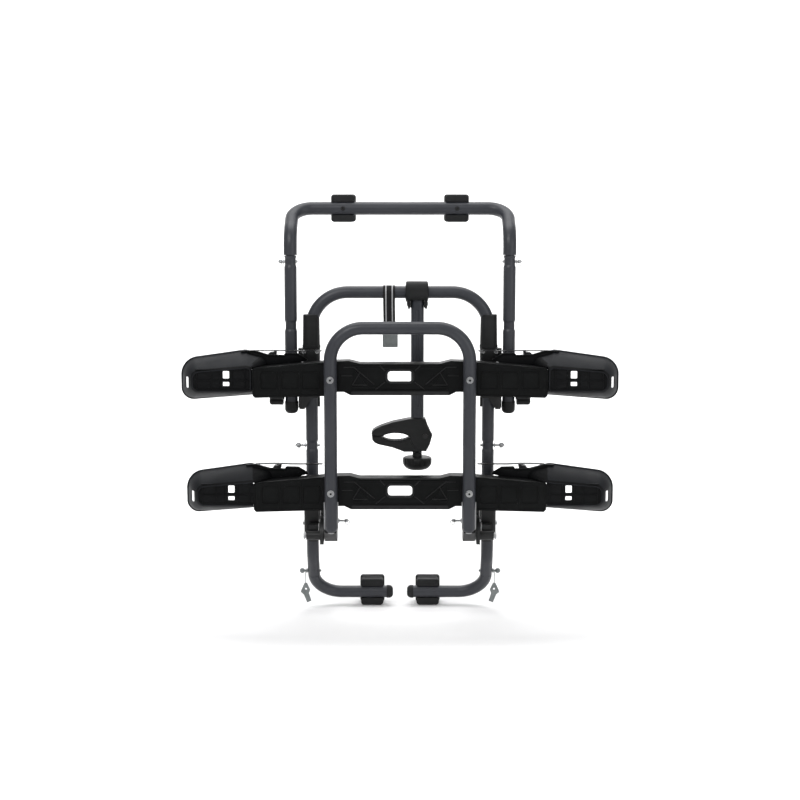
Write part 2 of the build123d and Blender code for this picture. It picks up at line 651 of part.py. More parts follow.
def tray_wing(mid):
    """The left wing of a tray: a tapering channel that a wheel scoop slides in."""
    x0, x1 = -WING_END_X, -BEAM_END_X
    outer = [(x1, 47), (x0 + 3, 30), (x0, 26), (x0, -43), (x0 + 6, -50), (x1, -45)]
    with BuildPart() as wing:
        with BuildSketch(Plane.XZ.offset(-TRAY_BACK)):
            with BuildLine():
                Polyline(*[(x, mid + z) for x, z in outer], close=True)
            make_face()
        extrude(amount=TRAY_BACK - TRAY_FRONT + 2)
        with BuildSketch(Plane.XZ.offset(-TRAY_BACK)):
            with Locations(((x0 + x1) / 2 - TRAY_WALL, mid - 5)):
                Rectangle(x1 - x0, 56)
        extrude(amount=TRAY_BACK - TRAY_FRONT - 1, mode=Mode.SUBTRACT)
        with BuildSketch(Plane.XZ.offset(-TRAY_FRONT + 2)):
            with Locations(*[(x, mid - 3) for x in (-352, -296, -240)]):
                RectangleRounded(44, 46, 3)
        extrude(amount=-1.6, mode=Mode.SUBTRACT)
    return wing


save_both(tray_wing(UPPER_TRAY_Z), "upper_tray_wings")
save_both(tray_wing(LOWER_TRAY_Z), "lower_tray_wings")

with BuildPart() as tray_bolts:
    head_y = PLATFORM_Y - PLATFORM_TUBE / 2 - 0.05
    nut_y = TRAY_FRONT + TRAY_WEB
    for bolt_z in (UPPER_BOLT_Z, LOWER_BOLT_Z):
        for bolt_x in (-PLATFORM_X, PLATFORM_X):
            with Locations(Location((bolt_x, head_y, bolt_z), (90, 0, 0))):
                add(socket_bolt(6.5, 4, 4, nut_y - head_y))
            with Locations(Location((bolt_x, nut_y, bolt_z), (-90, 0, 0))):
                add(hex_bolt(7, 6, 4, 1))
save(tray_bolts, "tray_bolts")


# ---------------------------------------------------------------- wheel scoops
def hull_outline(circles, grow):
    """A rounded outline round a few circles (x, z, r), each radius grown or shrunk."""
    with BuildSketch(Plane.XY) as outline:
        with BuildLine():
            for x, z, r in circles:
                CenterArc((x, z), r + grow, 0, 360)
        make_hull()
    return outline.sketch


def scoop(mid, reach):
    """A left wheel scoop: a flared cup, its rear fin, and the tongue that slides in the wing."""
    rim = [(-reach + 50, 6, 50), (-reach + 33, -29, 33), (-reach + 175, 43, 31), (-reach + 190, -44, 6)]
    floor = [(-reach + 55, 2, 19), (-reach + 55, -14, 19), (-reach + 184, 21, 11), (-reach + 188, -26, 7)]
    tongue_end = -reach + 330
    cup_end = -WING_END_X - 1
    # the fin's top edge falls from the rim, over the wing, to its inner end
    fin = [
        (-reach + 150, 20), (-reach + 165, 72), (cup_end + 4, 73), (cup_end + 38, 62), (cup_end + 70, 60),
        (cup_end + 106, 57), (cup_end + 146, 49), (cup_end + 146, 45), (cup_end + 60, 20),
    ]
    with BuildPart() as cup:
        for grow, lift, mode in ((0, 0, Mode.ADD), (-SKIN, SKIN, Mode.SUBTRACT)):
            with BuildSketch(Plane.XZ.offset(-FLOOR_Y - lift)):
                with Locations((0, mid)):
                    add(hull_outline(floor, grow))
            with BuildSketch(Plane.XZ.offset(-RIM_Y)):
                with Locations((0, mid)):
                    add(hull_outline(rim, grow))
            loft(mode=mode)
        with Locations((cup_end, RIM_Y - 80, mid)):
            Box(60, 200, 300, align=(Align.MIN, Align.CENTER, Align.CENTER), mode=Mode.SUBTRACT)
        with BuildSketch(Plane.XZ.offset(-FIN_Y)):
            with BuildLine():
                Polyline(*[(x, mid + z) for x, z in fin], close=True)
            make_face()
        extrude(amount=SKIN)
        # tongue
        with BuildSketch(Plane.YZ.offset(cup_end - 8)):
            with Locations((-116, mid - 4)):
                Rectangle(26, 52)
            with Locations((-116 + SKIN, mid - 4)):
                Rectangle(26, 46, mode=Mode.SUBTRACT)
        extrude(amount=tongue_end - cup_end + 8)
        # strap slots in the floor and one in the end wall
        with BuildSketch(Plane.XZ.offset(120)):
            with Locations((-reach + 128, mid + 12)):
                Rectangle(17, 20)
            with Locations((-reach + 128, mid - 13)):
                Rectangle(17, 11)
            with Locations((-reach + 22, mid - 10)):
                Rectangle(9, 30)
        extrude(amount=60, both=True, mode=Mode.SUBTRACT)
    return cup


def wheel_strap(mid, reach):
    """The ratchet strap stowed along the back of a scoop, and its buckle."""
    start = -reach + 188
    hump_half = 50
    hump_rise = 5
    end = -212.0
    height = mid + 66
    thick = 2.4
    buckle_x = start + 88
    with BuildPart() as strap:
        with BuildSketch(Plane.XZ.offset(-RIM_Y - 22)):
            with BuildLine():
                hump = start + hump_half
                landing = hump + hump_half
                ThreePointArc((start, height), (hump, height + hump_rise), (landing, height))
                Polyline(
                    (landing, height), (end, height), (end, height + thick), (landing, height + thick),
                )
                ThreePointArc(
                    (landing, height + thick), (hump, height + hump_rise + thick),
                    (start, height + thick),
                )
                Line((start, height + thick), (start, height))
            make_face()
        extrude(amount=22)
        with Locations((buckle_x, RIM_Y + 11, height + 0.5)):
            Box(34, 24, 11)
        fillet(strap.faces().sort_by(Axis.Z)[0].edges(), radius=2)
    return strap


for tray, mid, reach in (("upper", UPPER_TRAY_Z, UPPER_REACH), ("lower", LOWER_TRAY_Z, LOWER_REACH)):
    save_pair(scoop(mid, reach), f"{tray}_scoop")
    save_pair(wheel_strap(mid, reach), f"{tray}_wheel_strap")

# ---------------------------------------------------------------- arm
collar_mid = (COLLAR_X0 + COLLAR_X1) / 2
with BuildPart() as collar_bush:
    with Locations(Location((collar_mid, 0, MAST_Z), (0, 90, 0))):
        Cylinder(21, COLLAR_X1 - COLLAR_X0 + 2)
        Cylinder(TUBE / 2 + RUN, 80, mode=Mode.SUBTRACT)
    with Locations((collar_mid, 0, MAST_Z - 19)):
        Box(80, 2, 12, mode=Mode.SUBTRACT)
save(collar_bush, "collar_bush")

PRONG_X = 27.0              # outer faces of the arm head's two prongs
ARM_BOLT_Z = 875.5
ARM_TOP = 886.0
prong = [(18, 892), (PRONG_X, 892), (PRONG_X, 869), (25, 863), (22, 863), (20, 867), (18, 867)]
with BuildPart() as arm_head:
    with Locations((collar_mid, 0, MAST_Z + 2)):
        Box(COLLAR_X1 - COLLAR_X0, 56, 56)
    fillet(arm_head.edges().filter_by(Axis.X), radius=20)
    fillet(arm_head.faces().filter_by(Axis.X).edges(), radius=4)
    for side in (-1, 1):
        with BuildSketch(Plane.XZ.offset(-20)):
            with BuildLine():
                Polyline(*[(ARM_X + side * x, z) for x, z in prong], close=True)
            make_face()
        extrude(amount=40)
    with Locations(Location((collar_mid, 0, MAST_Z), (0, 90, 0))):
        Cylinder(21 + RUN, 90, mode=Mode.SUBTRACT)
    with Locations((ARM_X, 0, ARM_TOP + 0.5)):
        Box(36, 60, 40, align=(Align.CENTER, Align.CENTER, Align.MAX), mode=Mode.SUBTRACT)
    with Locations(Location((ARM_X, 0, ARM_BOLT_Z), (0, 90, 0))):
        Cylinder(4.1, 2 * PRONG_X + 4, mode=Mode.SUBTRACT)
save(arm_head, "arm_head")

with BuildPart() as arm_tube:
    with BuildSketch(Plane.XY.offset(ARM_BOTTOM)):
        with Locations((ARM_X, 0)):
            RectangleRounded(35.6, 30.6, 12.8)
            RectangleRounded(31, 26, 10.5, mode=Mode.SUBTRACT)
    extrude(amount=ARM_TOP - ARM_BOTTOM)
    with BuildSketch(Plane.XY.offset(ARM_BOTTOM)):
        with Locations((ARM_X, -19.3), (ARM_X, 19.3)):
            Circle(6)
    extrude(amount=300, mode=Mode.SUBTRACT)
    with Locations((ARM_X, 0, ARM_BOTTOM)):
        Cylinder(15, 30, align=(Align.CENTER, Align.CENTER, Align.MIN))
        Cylinder(10, 17, align=(Align.CENTER, Align.CENTER, Align.MAX))
    with Locations(Location((ARM_X, 0, ARM_BOLT_Z), (0, 90, 0))):
        Cylinder(4.1, 60, mode=Mode.SUBTRACT)
save(arm_tube, "arm_tube")

with BuildPart() as arm_bolt:
    with Locations(Location((ARM_X + PRONG_X + 0.1, 0, ARM_BOLT_Z), (0, 90, 0))):
        add(hex_bolt(6, 2, 4, 2 * PRONG_X + 2))
    with Locations(Location((ARM_X - PRONG_X - 0.1, 0, ARM_BOLT_Z), (0, -90, 0))):
        add(hex_bolt(6, 2.5, 4, 1))
save(arm_bolt, "arm_bolt")


# ---------------------------------------------------------------- frame claw
def block(outline, half):
    """A prism with an XZ outline, the same distance either side of Y = 0."""
    with BuildPart() as prism:
        with BuildSketch(Plane.XZ.offset(-half)):
            with BuildLine():
                Polyline(*outline, close=True)
            make_face()
        extrude(amount=2 * half)
    return prism.part


def about_rivet(radius, height):
    """A cylinder about the jaw rivet."""
    with BuildPart() as barrel:
        with Locations(Location((RIVET_X, 0, RIVET_Z), (90, 0, 0))):
            Cylinder(radius, height)
    return barrel.part


MOUTH = (-12.0, 507.0)
UPPER_MOUTH = 14.0          # half height of the almond in each jaw
LOWER_MOUTH = 13.0
CHEEK_R = 42.0              # the upper jaw's cheeks cover this much round the rivet
KNUCKLE = 26.0              # width of the lower jaw between the cheeks
claw_faces = (0, -1)

with BuildPart() as cheeks:
    add(about_rivet(CHEEK_R, 2 * JAW_HALF))
    add(
        block([(20, 509), (90, 514), (83, 488), (72, 466), (20, 466)], JAW_HALF),
        mode=Mode.INTERSECT,
    )

with BuildPart() as claw_top:
    add(block([
        (-78, 510.5), (-79, 518), (-76, 525), (-68, 531), (-50, 539), (-20, 549), (24, 558), (70, 558), (76, 540),
        (88, 514), (87, 503.5),
    ], JAW_HALF))
    add(cheeks.part)
    for end in claw_faces:
        chamfer(claw_top.faces().sort_by(Axis.Y)[end].edges().filter_by(GeomType.LINE), length=2.5)
    with BuildSketch(Plane.XZ):
        with Locations(MOUTH):
            Ellipse(38, UPPER_MOUTH)
    extrude(amount=40, both=True, mode=Mode.SUBTRACT)
    # room between the cheeks for the lower jaw, the stem and the arm's socket
    with Locations((52, 0, 503.5)):
        Box(84, KNUCKLE + 2, 60, align=(Align.CENTER, Align.CENTER, Align.MAX), mode=Mode.SUBTRACT)
    add(about_rivet(14, KNUCKLE + 2), mode=Mode.SUBTRACT)
    add(about_rivet(4.0, 60), mode=Mode.SUBTRACT)
    with Locations((40, 0, 490)):
        Box(44, 18, 50, align=(Align.CENTER, Align.CENTER, Align.MIN), mode=Mode.SUBTRACT)
    with Locations((ARM_X, 0, 542.5)):
        Cylinder(10 + RUN, 30, align=(Align.CENTER, Align.CENTER, Align.MIN), mode=Mode.SUBTRACT)
save(claw_top, "claw_upper_jaw")

# Lower jaw: it turns down about the rivet to open the mouth.
with BuildPart() as claw_bottom:
    add(block([
        (-78, 509), (-77, 500), (-71, 492), (-60, 487), (-20, 478), (12, 466), (60, 466), (60, 480), (28, 504.5),
    ], JAW_HALF))
    add(about_rivet(CHEEK_R + 0.6, 60), mode=Mode.SUBTRACT)
    for end in claw_faces:
        chamfer(claw_bottom.faces().sort_by(Axis.Y)[end].edges().filter_by(GeomType.LINE), length=2.5)
    with BuildSketch(Plane.XZ):
        with Locations(MOUTH):
            Ellipse(38, LOWER_MOUTH)
    extrude(amount=40, both=True, mode=Mode.SUBTRACT)
    # the tongue between the cheeks, and its knuckle on the rivet
    add(block([(24, 502), (16, 480), (22, 467), (62, 467), (76, 500), (66, 502)], KNUCKLE / 2))
    add(about_rivet(12, KNUCKLE))
    add(about_rivet(4 + RUN, 60), mode=Mode.SUBTRACT)
    with Locations((ARM_X, 0, 460)):
        Cylinder(5 + RUN, 80, align=(Align.CENTER, Align.CENTER, Align.MIN), mode=Mode.SUBTRACT)
save(claw_bottom, "claw_lower_jaw")

with BuildPart() as claw_rivet:
    with Locations(Location((RIVET_X, -JAW_HALF - 2.5, RIVET_Z), (-90, 0, 0))):
        Cylinder(4, 2 * JAW_HALF + 5, align=(Align.CENTER, Align.CENTER, Align.MIN))
    for side in (-1, 1):
        with Locations(Location((RIVET_X, side * (JAW_HALF + 1.3), RIVET_Z), (90, 0, 0))):
            Cylinder(7, 2.4)
save(claw_rivet, "claw_rivet")


PAD_THICK = 2.6


def jaw_pad(side):
    """A ribbed rubber lining for one jaw's half of the mouth; side is 1 above, -1 below."""
    reach = UPPER_MOUTH if side > 0 else LOWER_MOUTH
    with BuildPart() as pad:
        with BuildSketch(Plane.XZ):
            with Locations(MOUTH):
                Ellipse(37.7, reach - 0.3)
                Ellipse(35, reach - PAD_THICK, mode=Mode.SUBTRACT)
                with Locations((0, -side * 17)):
                    Rectangle(90, 40, mode=Mode.SUBTRACT)
        extrude(amount=17, both=True)
        for x in range(-24, 25, 8):
            height = (reach - PAD_THICK) * (1 - (x / 35) ** 2) ** 0.5
            with Locations((MOUTH[0] + x, 0, MOUTH[1] + side * height)):
                Box(2.4, 34, 1.8)
    return pad


save(jaw_pad(1), "upper_jaw_pad")
save(jaw_pad(-1), "lower_jaw_pad")

KNOB_TOP = 449.0
with BuildPart() as claw_knob:
    with Locations((ARM_X, 0, KNOB_TOP)):
        Cylinder(40.5, 35, align=(Align.CENTER, Align.CENTER, Align.MAX))
    fillet(claw_knob.faces().sort_by(Axis.Z)[0].edges(), radius=23)
    fillet(claw_knob.faces().sort_by(Axis.Z)[-1].edges(), radius=7)
    with Locations((ARM_X, 0, KNOB_TOP - 10)):
        with PolarLocations(44, 10):
            Cylinder(6, 60, mode=Mode.SUBTRACT)
    with Locations((ARM_X, 0, KNOB_TOP)):
        Cylinder(13, 14, align=(Align.CENTER, Align.CENTER, Align.MIN))
        Cylinder(5, 80, align=(Align.CENTER, Align.CENTER, Align.MIN))
save(claw_knob, "claw_knob")

# ---------------------------------------------------------------- webbing and buckle
with BuildPart() as tie_strap:
    loop_r = TUBE / 2 + 0.4
    with BuildSketch(Plane.YZ.offset(STRAP_X - STRAP_W / 2)):
        with Locations((0, MAST_Z)):
            Circle(loop_r + 2.0)
        with BuildLine():
            Polyline((-loop_r - 2.0, MAST_Z), (loop_r + 2.0, MAST_Z), (3.2, 792), (-3.2, 792), close=True)
        make_face()
        with Locations((0, MAST_Z)):
            Circle(loop_r, mode=Mode.SUBTRACT)
        with BuildLine():
            Polyline((-loop_r, MAST_Z), (loop_r, MAST_Z), (1.0, 800), (-1.0, 800), close=True)
        make_face(mode=Mode.SUBTRACT)
    extrude(amount=STRAP_W)
save(tie_strap, "tie_strap")

with BuildPart() as tie_buckle:
    with BuildSketch(Plane.XZ):
        with Locations((STRAP_X + 3, 774)):
            RectangleRounded(42, 36, 3)
    extrude(amount=2.5, both=True)
save(tie_buckle, "tie_buckle")

print(f"foot pin at y {foot_pin_at.Y:.1f} z {foot_pin_at.Z:.1f}; foot bar y {foot_corner.Y:.1f}")
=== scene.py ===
import json
import math

import bmesh
import bpy
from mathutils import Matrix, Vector


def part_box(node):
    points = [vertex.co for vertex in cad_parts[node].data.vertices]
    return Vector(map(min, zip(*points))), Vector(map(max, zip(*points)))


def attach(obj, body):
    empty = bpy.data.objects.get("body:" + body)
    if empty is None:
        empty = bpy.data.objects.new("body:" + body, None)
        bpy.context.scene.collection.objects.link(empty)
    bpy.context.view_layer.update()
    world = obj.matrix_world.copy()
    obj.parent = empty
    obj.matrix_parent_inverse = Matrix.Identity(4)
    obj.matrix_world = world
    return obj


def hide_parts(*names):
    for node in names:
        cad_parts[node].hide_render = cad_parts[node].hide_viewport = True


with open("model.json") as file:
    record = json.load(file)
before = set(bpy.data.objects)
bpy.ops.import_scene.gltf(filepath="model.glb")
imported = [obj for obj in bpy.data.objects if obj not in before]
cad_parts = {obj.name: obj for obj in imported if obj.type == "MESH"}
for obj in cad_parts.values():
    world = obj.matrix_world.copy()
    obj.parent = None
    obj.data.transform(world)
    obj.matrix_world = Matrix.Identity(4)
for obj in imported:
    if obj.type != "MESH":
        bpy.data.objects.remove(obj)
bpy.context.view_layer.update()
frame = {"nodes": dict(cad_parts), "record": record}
nodes = frame["nodes"]

# The folded rack stands on its lower pads. X is across the car, +Y points at the car, Z is up.
# Pieces are built in millimetres and scaled to metres.
SIDES = (("left", -1), ("right", 1))
TRAYS = ("upper", "lower")
TUBE_R = 17.0               # uprights and mast
PLATFORM_TUBE_R = 17.5
BEAM_DROP = 43.0            # from a tray's middle down to its beam's lower edge
SMOOTH_UNDER = 32.0         # degrees between two faces that still look like one curve


# ---------------------------------------------------------------- materials
class Finish:
    """A procedural material: one Principled shader, and the texture nodes that feed it."""

    def __init__(self, name, metallic=0.0, specular=0.5, coat=0.0, coat_roughness=0.3, sheen=0.0):
        self.material = bpy.data.materials.new(name)
        self.material.use_nodes = True
        self.tree = self.material.node_tree
        self.shader = self.tree.nodes["Principled BSDF"]
        self.shader.inputs["Metallic"].default_value = metallic
        self.shader.inputs["Specular IOR Level"].default_value = specular
        self.shader.inputs["Coat Weight"].default_value = coat
        self.shader.inputs["Coat Roughness"].default_value = coat_roughness
        self.shader.inputs["Sheen Weight"].default_value = sheen
        self.place = self.add("ShaderNodeTexCoord").outputs["Object"]

    def add(self, kind, **inputs):
        node = self.tree.nodes.new(kind)
        for name, value in inputs.items():
            self.feed(node.inputs[name.replace("_", " ")], value)
        return node

    def feed(self, socket, value):
        if isinstance(value, bpy.types.NodeSocket):
            self.tree.links.new(value, socket)
        else:
            socket.default_value = value

    def stretched(self, scale):
        """Object coordinates, stretched by a factor for each axis."""
        return self.add("ShaderNodeMapping", Vector=self.place, Scale=scale).outputs["Vector"]

    def noise(self, scale, detail=2.0, roughness=0.5, vector=None):
        node = self.add("ShaderNodeTexNoise", Scale=scale, Detail=detail, Roughness=roughness)
        self.feed(node.inputs["Vector"], vector or self.place)
        return node.outputs["Fac"]

    def cells(self, scale):
        node = self.add("ShaderNodeTexVoronoi", Scale=scale)
        self.feed(node.inputs["Vector"], self.place)
        return node.outputs["Distance"]

    def ramp(self, factor, *stops):
        """Map a 0 to 1 value to greys or colours at the given positions."""
        node = self.add("ShaderNodeValToRGB", Fac=factor)
        elements = node.color_ramp.elements
        while len(elements) < len(stops):
            elements.new(0.5)
        for element, (position, colour) in zip(elements, stops):
            element.position = position
            shade = (colour,) * 3 if isinstance(colour, (int, float)) else colour
            element.color = (*shade, 1.0)
        return node.outputs["Color"]

    def mix(self, factor, first, second, blend="MIX"):
        node = self.tree.nodes.new("ShaderNodeMix")
        node.data_type = "RGBA"
        node.blend_type = blend
        for socket, value in zip((node.inputs[0], node.inputs[6], node.inputs[7]), (factor, first, second)):
            shade = (*value, 1.0) if isinstance(value, tuple) else value
            self.feed(socket, shade)
        return node.outputs[2]

    def math(self, operation, first, second=0.0):
        node = self.tree.nodes.new("ShaderNodeMath")
        node.operation = operation
        self.feed(node.inputs[0], first)
        self.feed(node.inputs[1], second)
        return node.outputs[0]

    def bump(self, height, distance, strength=1.0, after=None):
        node = self.add("ShaderNodeBump", Height=height, Distance=distance, Strength=strength)
        if after:
            self.feed(node.inputs["Normal"], after)
        return node.outputs["Normal"]

    def finish(self, colour, roughness, normal):
        self.feed(self.shader.inputs["Base Color"], colour)
        self.feed(self.shader.inputs["Roughness"], roughness)
        self.feed(self.shader.inputs["Normal"], normal)
        return self.material


def powder_coat(name, colour, lighter, chips=0.72):
    """Satin powder coat: orange peel, faint clouding and a few rubbed spots."""
    f = Finish(name, specular=0.3, coat=0.1, coat_roughness=0.3)
    clouds = f.noise(7.0, 3.0)
    base = f.mix(f.ramp(clouds, (0.3, 0.0), (0.7, 1.0)), colour, lighter)
    rubbed = f.math("MULTIPLY", f.ramp(f.noise(38.0, 5.0, 0.7), (chips, 0.0), (chips + 0.03, 1.0)), 0.5)
    worn = f.mix(rubbed, base, tuple(1.9 * c for c in lighter))
    rough = f.ramp(f.noise(60.0, 3.0), (0.25, 0.36), (0.75, 0.46))
    peel = f.bump(f.noise(620.0, 2.0), 0.0002, 0.5)
    return f.finish(worn, rough, peel)


def moulded(name, colour, lighter, rough=(0.42, 0.56), grain=1400.0, depth=0.00012, specular=0.16):
    """Moulded plastic: a fine spark-eroded grain, flow clouding and scuffs."""
    f = Finish(name, specular=specular)
    flow = f.noise(9.0, 4.0, 0.55, f.stretched((1.0, 1.0, 2.5)))
    base = f.mix(f.ramp(flow, (0.3, 0.0), (0.72, 1.0)), colour, lighter)
    scratches = f.noise(55.0, 6.0, 0.75, f.stretched((0.25, 1.0, 3.0)))
    scuffed = f.mix(f.ramp(scratches, (0.68, 0.0), (0.76, 0.35)), base, tuple(2.6 * c for c in lighter))
    roughness = f.ramp(f.noise(24.0, 4.0), (0.25, rough[0]), (0.75, rough[1]))
    skin = f.bump(f.noise(grain, 1.0), depth, 0.6)
    return f.finish(scuffed, roughness, skin)


def moulded_rubber(name):
    """Matt rubber with a pebbled skin and a dusting in its hollows."""
    f = Finish(name, specular=0.18, sheen=0.02)
    dust = f.ramp(f.noise(16.0, 5.0, 0.65), (0.35, 0.0), (0.8, 0.6))
    base = f.mix(dust, (0.012, 0.0125, 0.013), (0.028, 0.0285, 0.030))
    pebbles = f.bump(f.cells(700.0), 0.0003, 0.5)
    skin = f.bump(f.noise(260.0, 3.0), 0.0003, 0.4, pebbles)
    return f.finish(base, f.ramp(f.noise(30.0), (0.3, 0.62), (0.7, 0.78)), skin)


def zinc_plate(name):
    """Bright zinc plating: cloudy, faintly yellow and blue, with turned lines."""
    f = Finish(name, metallic=1.0)
    clouds = f.noise(120.0, 4.0, 0.6)
    base = f.mix(f.ramp(clouds, (0.3, 0.0), (0.7, 1.0)), (0.30, 0.31, 0.33), (0.46, 0.46, 0.45))
    tarnish = f.ramp(f.noise(300.0, 5.0, 0.7), (0.6, 0.0), (0.75, 0.6))
    aged = f.mix(tarnish, base, (0.24, 0.23, 0.21))
    lines = f.bump(f.noise(900.0, 2.0, 0.5, f.stretched((0.15, 1.0, 1.0))), 0.00005, 0.4)
    return f.finish(aged, f.ramp(clouds, (0.3, 0.24), (0.7, 0.38)), lines)


def cast_grey(name):
    """Tumbled grey casting for the buckle and the tailgate hooks."""
    f = Finish(name, metallic=0.35, specular=0.5)
    clouds = f.noise(90.0, 5.0, 0.6)
    base = f.mix(f.ramp(clouds, (0.3, 0.0), (0.7, 1.0)), (0.15, 0.165, 0.165), (0.22, 0.235, 0.235))
    skin = f.bump(f.noise(800.0, 3.0), 0.0002, 0.5)
    return f.finish(base, f.ramp(clouds, (0.25, 0.42), (0.75, 0.6)), skin)


def woven(name):
    """Black polyester webbing with a rib weave and two pale tracer lines along it."""
    f = Finish(name, specular=0.12, sheen=0.05)
    across = f.add("ShaderNodeAttribute")
    across.attribute_name = "across"
    along = f.add("ShaderNodeAttribute")
    along.attribute_name = "along"
    weft = f.math("SINE", f.math("MULTIPLY", along.outputs["Fac"], 2 * math.pi / 0.0016))
    warp = f.math("SINE", f.math("MULTIPLY", across.outputs["Fac"], 2 * math.pi / 0.0011))
    weave = f.math("MULTIPLY", weft, warp)
    offset = f.math("ABSOLUTE", f.math("SUBTRACT", f.math("ABSOLUTE", across.outputs["Fac"]), 0.0087))
    tracer = f.math("LESS_THAN", offset, 0.0016)
    shade = f.ramp(f.math("ADD", f.math("MULTIPLY", weave, 0.5), 0.5), (0.0, (0.006, 0.006, 0.0065)),
                   (1.0, (0.02, 0.019, 0.02)))
    fuzz = f.mix(f.ramp(f.noise(500.0, 4.0), (0.45, 0.0), (0.8, 0.5)), shade, (0.035, 0.033, 0.034))
    base = f.mix(tracer, fuzz, (0.42, 0.42, 0.43))
    skin = f.bump(weave, 0.00025, 0.7)
    return f.finish(base, f.ramp(f.noise(200.0), (0.3, 0.75), (0.7, 0.9)), skin)


# Painted shade: the scoops' floors and the faces past the cups get a darker copy of the scoop plastic,
# since the walls face up into the light and these faces do not.
SCOOP_PAINTED_SHADE_LOOK = moulded(
    "scoop_painted_shade_look", (0.0026, 0.0028, 0.0032), (0.0058, 0.0062, 0.0068), specular=0.1,
)

FINISHES = {
    "frame_paint": powder_coat("frame_paint_look", (0.026, 0.028, 0.034), (0.036, 0.038, 0.045)),
    "arm_paint": powder_coat("arm_paint_look", (0.026, 0.029, 0.035), (0.036, 0.039, 0.046), 0.76),
    "black_steel": powder_coat("black_steel_look", (0.0075, 0.0078, 0.008), (0.013, 0.0135, 0.014), 0.7),
    "black_plastic": moulded("black_plastic_look", (0.011, 0.0115, 0.0117), (0.019, 0.0195, 0.02)),
    "knob_plastic": moulded(
        "knob_plastic_look", (0.0095, 0.010, 0.010), (0.016, 0.0165, 0.017), (0.38, 0.5),
    ),
    "tray_plastic": moulded(
        "tray_plastic_look", (0.0022, 0.0025, 0.0026), (0.0052, 0.0057, 0.0058), specular=0.1,
    ),
    "scoop_plastic": moulded(
        "scoop_plastic_look", (0.0085, 0.0092, 0.011), (0.0135, 0.0146, 0.017), specular=0.14,
    ),
    "strap_plastic": moulded("strap_plastic_look", (0.010, 0.010, 0.011), (0.02, 0.02, 0.021), (0.3, 0.42)),
    "pad_rubber": moulded_rubber("pad_rubber_look"),
    "zinc": zinc_plate("zinc_look"),
    "webbing": woven("webbing_look"),
    "buckle_metal": cast_grey("buckle_metal_look"),
}


def dress_cad_nodes():
    """Give every carried-over node the finish of its material slot, and crisp shading."""
    for part in frame["record"]["subparts"]:
        mesh = nodes[part["node"]].data
        mesh.materials.clear()
        mesh.materials.append(FINISHES[part["material_slot"]])
        mesh.shade_smooth()
        mesh.set_sharp_from_angle(angle=math.radians(SMOOTH_UNDER))


# ---------------------------------------------------------------- mesh helpers
MM = 0.001


def prism(shape, outline, axis, low, high):
    """A closed prism along an axis, from an outline in the other two coordinates."""
    def corner(point, along):
        first, second = point
        return {"X": (along, first, second), "Y": (first, along, second), "Z": (first, second, along)}[axis]

    ends = [[shape.verts.new(corner(p, along)) for p in outline] for along in (low, high)]
    for end in ends:
        shape.faces.new(end)
    skin(shape, *ends)


def slab(shape, low, high):
    """A box between two corners."""
    outline = [(low[0], low[1]), (high[0], low[1]), (high[0], high[1]), (low[0], high[1])]
    prism(shape, outline, "Z", low[2], high[2])


def skin(shape, first, second, closed=True):
    """Join two rows of vertices with quads."""
    count = len(first)
    for i in range(count if closed else count - 1):
        j = (i + 1) % count
        shape.faces.new((first[i], first[j], second[j], second[i]))


def ring_rows(shape, rows, capped=True):
    """A closed skin over rows of points, each row a loop."""
    loops = [[shape.verts.new(p) for p in row] for row in rows]
    for low, high in zip(loops, loops[1:]):
        skin(shape, low, high)
    if capped:
        shape.faces.new(loops[0])
        shape.faces.new(loops[-1])


def rounded_loop(width, height, radius, steps=6):
    """A rectangle's outline with round corners, about the origin."""
    loop = []
    corners = ((1, 1), (-1, 1), (-1, -1), (1, -1))
    for quarter, (sx, sy) in enumerate(corners):
        for i in range(steps + 1):
            turn = 0.5 * math.pi * (quarter + i / steps)
            loop.append((sx * (width / 2 - radius) + radius * math.cos(turn),
                         sy * (height / 2 - radius) + radius * math.sin(turn)))
    return loop


def wire_ring(shape, centre, radius, thickness, normal="Y", ripple=0.0, turns=36, sides=8):
    """A torus about an axis; ripple makes its section swell and shrink, as a weld bead does."""
    rows = []
    for i in range(turns):
        turn = 2 * math.pi * i / turns
        bead = thickness * (1 + ripple * math.sin(turns / 3 * turn))
        row = []
        for j in range(sides):
            around = 2 * math.pi * j / sides
            reach = radius + bead * math.cos(around)
            a, b, c = reach * math.cos(turn), reach * math.sin(turn), bead * math.sin(around)
            offset = {"X": (c, a, b), "Y": (a, c, b), "Z": (a, b, c)}[normal]
            row.append(tuple(p + o for p, o in zip(centre, offset)))
        rows.append(row)
    loops = [[shape.verts.new(p) for p in row] for row in rows]
    for i, low in enumerate(loops):
        skin(shape, low, loops[(i + 1) % turns])


def settle(piece):
    """Bake a piece's modifiers into its mesh."""
    graph = bpy.context.evaluated_depsgraph_get()
    piece.data = bpy.data.meshes.new_from_object(piece.evaluated_get(graph))
    piece.modifiers.clear()


def to_metres(shape, mirrored):
    """Scale a bmesh from millimetres, mirror it if asked, and turn its faces outwards."""
    side = -MM if mirrored else MM
    bmesh.ops.scale(shape, vec=(side, MM, MM), verts=shape.verts)
    bmesh.ops.recalc_face_normals(shape, faces=shape.faces)


def raw_piece(name, shape, mirrored=False):
    """An object from a bmesh in millimetres."""
    to_metres(shape, mirrored)
    mesh = bpy.data.meshes.new(name)
    shape.to_mesh(mesh)
    shape.free()
    piece = bpy.data.objects.new(name, mesh)
    bpy.context.scene.collection.objects.link(piece)
    return piece


def cut(piece, shape, mirrored=False):
    """Take a bmesh in millimetres out of a piece."""
    cutter = raw_piece("cutter", shape, mirrored)
    boolean = piece.modifiers.new("cut", "BOOLEAN")
    boolean.operation = "DIFFERENCE"
    boolean.solver = "EXACT"
    boolean.use_self = True
    boolean.object = cutter
    settle(piece)
    bpy.data.objects.remove(cutter)


